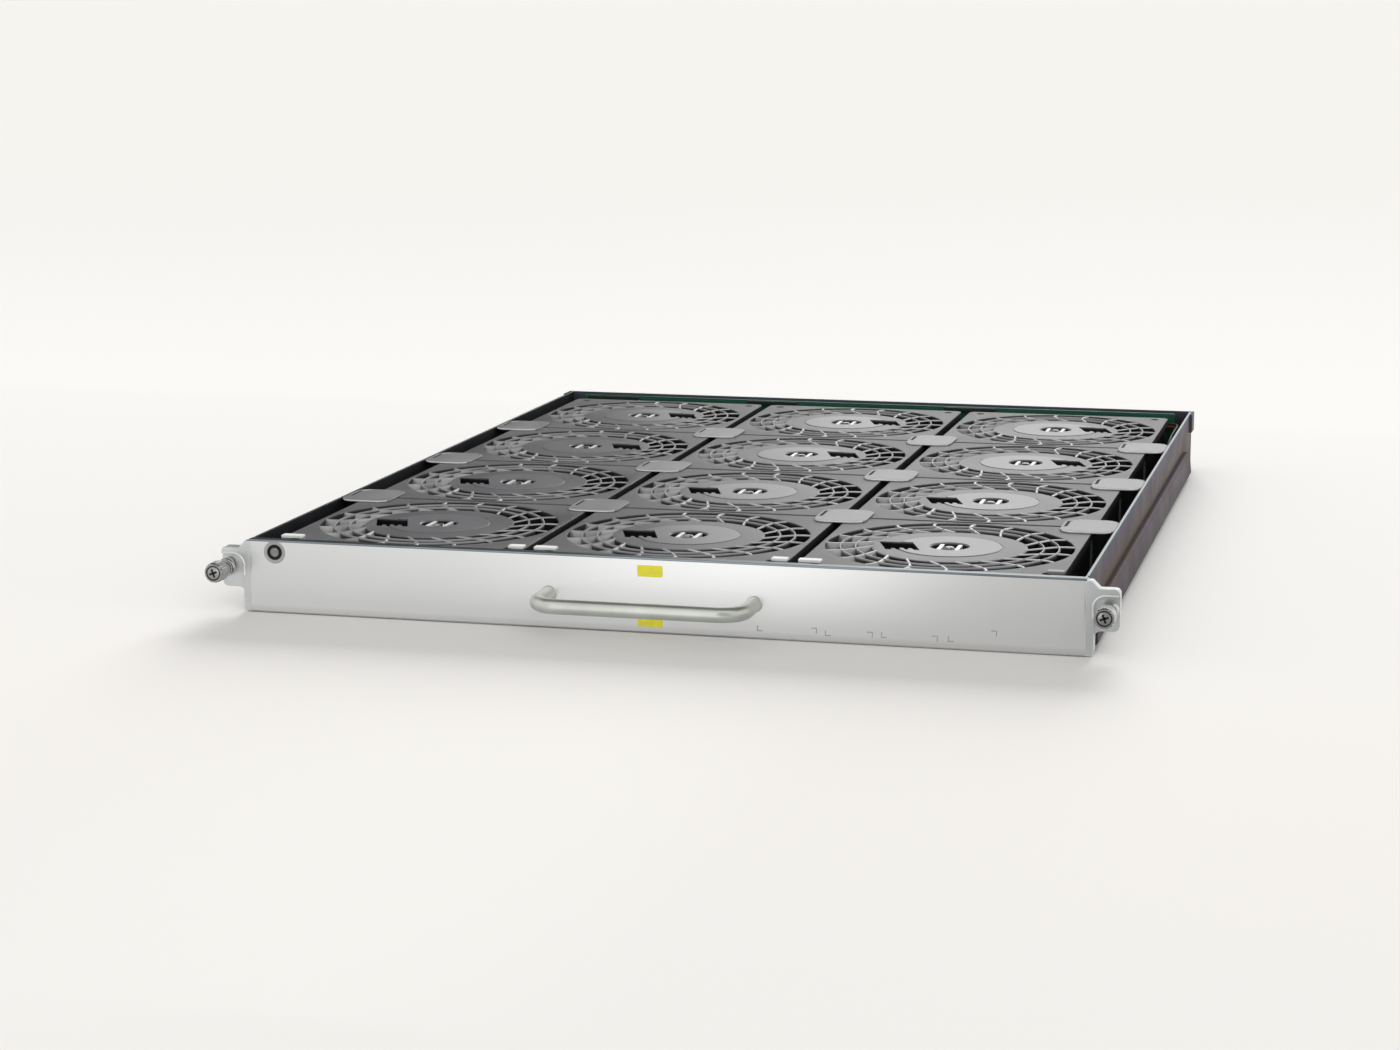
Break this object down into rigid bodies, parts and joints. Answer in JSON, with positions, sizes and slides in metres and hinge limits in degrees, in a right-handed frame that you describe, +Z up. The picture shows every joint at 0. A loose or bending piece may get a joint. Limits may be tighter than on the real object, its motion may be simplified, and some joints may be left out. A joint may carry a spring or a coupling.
{
  "type": "fan tray",
  "caption": "Shallow sheet-metal drawer that holds a grid of axial fans under vaned guards, with a bar handle, ears and captive thumbscrews.",
  "frame": {"origin": "under the middle of the whole object, on the surface it rests on", "axes": "+X to the right as seen from the handle, +Y from the handle to the rear connector, +Z up"},
  "size_m": [0.4228, 0.5606, 0.035],
  "materials": {
    "zinc_sheet": "zinc plated with a faint rainbow passivation",
    "panel_metal": "satin silver",
    "handle_nickel": "satin nickel",
    "bright_steel": "bright turned steel",
    "black_plastic": "moulded black",
    "lens_plastic": "clear grey",
    "plate_grey": "satin grey",
    "pad_white": "bright white",
    "fan_grey": "moulded mid grey",
    "impeller_grey": "glossy dark grey",
    "board_green": "green solder mask",
    "lead_red": "coloured insulation"
  },
  "bodies": {
    "tray": {"backplane_connector": "black_plastic", "base_pan": "zinc_sheet", "board_components": "black_plastic", "board_standoffs": "bright_steel", "control_board": "board_green", "corner_pads": "pad_white", "fan_headers": "black_plastic", "fan_housing_01": "fan_grey", "fan_housing_02": "fan_grey", "fan_housing_03": "fan_grey", "fan_housing_04": "fan_grey", "fan_housing_05": "fan_grey", "fan_housing_06": "fan_grey", "fan_housing_07": "fan_grey", "fan_housing_08": "fan_grey", "fan_housing_09": "fan_grey", "fan_housing_10": "fan_grey", "fan_housing_11": "fan_grey", "fan_housing_12": "fan_grey", "fan_lead": "lead_red", "fan_stators": "fan_grey", "front_panel": "panel_metal", "guard_rings": "fan_grey", "guide_pins": "bright_steel", "handle": "handle_nickel", "handle_screws": "bright_steel", "hold_down_plates": "plate_grey", "led_bezel": "black_plastic", "led_lens": "lens_plastic", "left_guide_rail": "zinc_sheet", "left_side_wall": "zinc_sheet", "left_thumbscrew_ferrule": "bright_steel", "left_thumbscrew_spring": "bright_steel", "rail_rivets": "bright_steel", "rear_wall": "zinc_sheet", "right_guide_rail": "zinc_sheet", "right_side_wall": "zinc_sheet", "right_thumbscrew_ferrule": "bright_steel", "right_thumbscrew_spring": "bright_steel", "shaft_bearings": "bright_steel"},
    "fan_rotor_01": {"fan_impeller_01": "impeller_grey"},
    "fan_rotor_02": {"fan_impeller_02": "impeller_grey"},
    "fan_rotor_03": {"fan_impeller_03": "impeller_grey"},
    "fan_rotor_04": {"fan_impeller_04": "impeller_grey"},
    "fan_rotor_05": {"fan_impeller_05": "impeller_grey"},
    "fan_rotor_06": {"fan_impeller_06": "impeller_grey"},
    "fan_rotor_07": {"fan_impeller_07": "impeller_grey"},
    "fan_rotor_08": {"fan_impeller_08": "impeller_grey"},
    "fan_rotor_09": {"fan_impeller_09": "impeller_grey"},
    "fan_rotor_10": {"fan_impeller_10": "impeller_grey"},
    "fan_rotor_11": {"fan_impeller_11": "impeller_grey"},
    "fan_rotor_12": {"fan_impeller_12": "impeller_grey"},
    "left_screw_carriage": {"left_thumbscrew_retainer": "bright_steel"},
    "left_screw": {"left_thumbscrew": "bright_steel"},
    "right_screw_carriage": {"right_thumbscrew_retainer": "bright_steel"},
    "right_screw": {"right_thumbscrew": "bright_steel"}
  },
  "joints": [
    {"name": "fan_01_spin", "type": "hinge", "parent": "tray", "child": "fan_rotor_01", "pos_m": [-0.125, -0.18595, 0.013], "axis": [0, 0, 1], "continuous": true},
    {"name": "fan_02_spin", "type": "hinge", "parent": "tray", "child": "fan_rotor_02", "pos_m": [0, -0.18595, 0.013], "axis": [0, 0, 1], "continuous": true},
    {"name": "fan_03_spin", "type": "hinge", "parent": "tray", "child": "fan_rotor_03", "pos_m": [0.125, -0.18595, 0.013], "axis": [0, 0, 1], "continuous": true},
    {"name": "fan_04_spin", "type": "hinge", "parent": "tray", "child": "fan_rotor_04", "pos_m": [-0.125, -0.06345, 0.013], "axis": [0, 0, 1], "continuous": true},
    {"name": "fan_05_spin", "type": "hinge", "parent": "tray", "child": "fan_rotor_05", "pos_m": [0, -0.06345, 0.013], "axis": [0, 0, 1], "continuous": true},
    {"name": "fan_06_spin", "type": "hinge", "parent": "tray", "child": "fan_rotor_06", "pos_m": [0.125, -0.06345, 0.013], "axis": [0, 0, 1], "continuous": true},
    {"name": "fan_07_spin", "type": "hinge", "parent": "tray", "child": "fan_rotor_07", "pos_m": [-0.125, 0.05905, 0.013], "axis": [0, 0, 1], "continuous": true},
    {"name": "fan_08_spin", "type": "hinge", "parent": "tray", "child": "fan_rotor_08", "pos_m": [0, 0.05905, 0.013], "axis": [0, 0, 1], "continuous": true},
    {"name": "fan_09_spin", "type": "hinge", "parent": "tray", "child": "fan_rotor_09", "pos_m": [0.125, 0.05905, 0.013], "axis": [0, 0, 1], "continuous": true},
    {"name": "fan_10_spin", "type": "hinge", "parent": "tray", "child": "fan_rotor_10", "pos_m": [-0.125, 0.18155, 0.013], "axis": [0, 0, 1], "continuous": true},
    {"name": "fan_11_spin", "type": "hinge", "parent": "tray", "child": "fan_rotor_11", "pos_m": [0, 0.18155, 0.013], "axis": [0, 0, 1], "continuous": true},
    {"name": "fan_12_spin", "type": "hinge", "parent": "tray", "child": "fan_rotor_12", "pos_m": [0.125, 0.18155, 0.013], "axis": [0, 0, 1], "continuous": true},
    {"name": "left_screw_push", "type": "slide", "parent": "tray", "child": "left_screw_carriage", "axis": [0, 1, 0], "range_m": [0, 0.0055], "stiffness_N_per_m": 400, "springref_m": -0.004, "deforming": ["left_thumbscrew_spring"]},
    {"name": "left_screw_turn", "type": "hinge", "parent": "left_screw_carriage", "child": "left_screw", "pos_m": [-0.2065, -0.25085, 0.0218], "axis": [0, 1, 0], "continuous": true},
    {"name": "right_screw_push", "type": "slide", "parent": "tray", "child": "right_screw_carriage", "axis": [0, 1, 0], "range_m": [0, 0.0055], "stiffness_N_per_m": 400, "springref_m": -0.004, "deforming": ["right_thumbscrew_spring"]},
    {"name": "right_screw_turn", "type": "hinge", "parent": "right_screw_carriage", "child": "right_screw", "pos_m": [0.2065, -0.25085, 0.0218], "axis": [0, 1, 0], "continuous": true}
  ]
}
